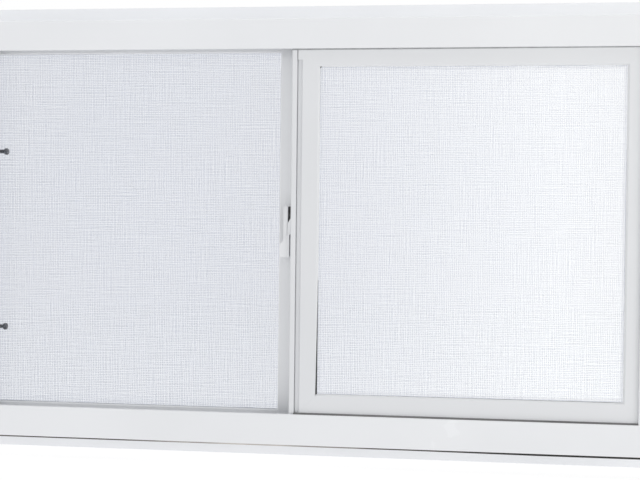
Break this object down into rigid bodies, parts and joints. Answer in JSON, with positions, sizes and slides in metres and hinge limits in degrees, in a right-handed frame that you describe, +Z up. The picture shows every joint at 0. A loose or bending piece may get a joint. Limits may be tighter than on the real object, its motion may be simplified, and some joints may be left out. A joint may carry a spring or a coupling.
{
  "type": "sliding vinyl window",
  "caption": "Horizontal sliding window of white vinyl: fixed light, sliding sash with pull lip and latch, outside insect screen, and a fixing flange all round.",
  "frame": {"origin": "on the room-side face of the fixing flange, at mid width of its bottom run, on the window's centreline", "axes": "+X to the right along the sill as seen from the room, +Y from the room to the outside, +Z up"},
  "size_m": [0.8128, 0.068, 0.4975],
  "materials": {
    "white_vinyl": "satin extruded white vinyl",
    "sash_vinyl": "satin extruded white vinyl",
    "clear_glass": "clear float glass",
    "spacer_aluminium": "mill",
    "glazing_rubber": "pale grey foam tape and blocks",
    "roller_nylon": "moulded",
    "pile": "brushed pile",
    "latch_plastic": "moulded white",
    "dark_plastic": "moulded black",
    "keeper_steel": "zinc plated",
    "screen_paint": "white enamel on rolled aluminium",
    "insect_mesh": "coated glass-fibre insect mesh",
    "spline_rubber": "matte",
    "seal_rubber": "matte black",
    "gasket_foam": "dark brown-grey foam",
    "plunger_black": "moulded black"
  },
  "bodies": {
    "root": {"frame_head": "white_vinyl", "frame_sill": "white_vinyl", "frame_jamb_left": "white_vinyl", "frame_jamb_right": "white_vinyl", "fixed_mullion": "white_vinyl", "fixed_bead_top": "white_vinyl", "fixed_bead_bottom": "white_vinyl", "fixed_bead_left": "white_vinyl", "fixed_bead_right": "white_vinyl", "fixed_glass_inner": "clear_glass", "fixed_glass_outer": "clear_glass", "fixed_glass_spacer": "spacer_aluminium", "fixed_glazing_tape": "glazing_rubber", "fixed_setting_blocks": "glazing_rubber", "sash_top_rail": "sash_vinyl", "sash_bottom_rail": "sash_vinyl", "sash_meeting_stile": "sash_vinyl", "sash_jamb_stile": "sash_vinyl", "sash_bead_top": "sash_vinyl", "sash_bead_bottom": "sash_vinyl", "sash_bead_left": "sash_vinyl", "sash_bead_right": "sash_vinyl", "sash_glass_inner": "clear_glass", "sash_glass_outer": "clear_glass", "sash_glass_spacer": "spacer_aluminium", "sash_glazing_tape": "glazing_rubber", "sash_setting_blocks": "glazing_rubber", "sash_roller_left": "roller_nylon", "sash_roller_right": "roller_nylon", "meeting_weatherstrip": "pile", "sash_weatherstrips": "pile", "sill_seal": "seal_rubber", "sill_gasket": "gasket_foam", "latch_lever": "latch_plastic", "latch_body": "dark_plastic", "latch_keeper": "keeper_steel", "screen_bar_top": "screen_paint", "screen_bar_bottom": "screen_paint", "screen_bar_left": "screen_paint", "screen_bar_right": "screen_paint", "screen_mesh": "insect_mesh", "screen_spline": "spline_rubber", "screen_plunger_upper": "plunger_black", "screen_plunger_lower": "plunger_black"}
  },
  "joints": []
}
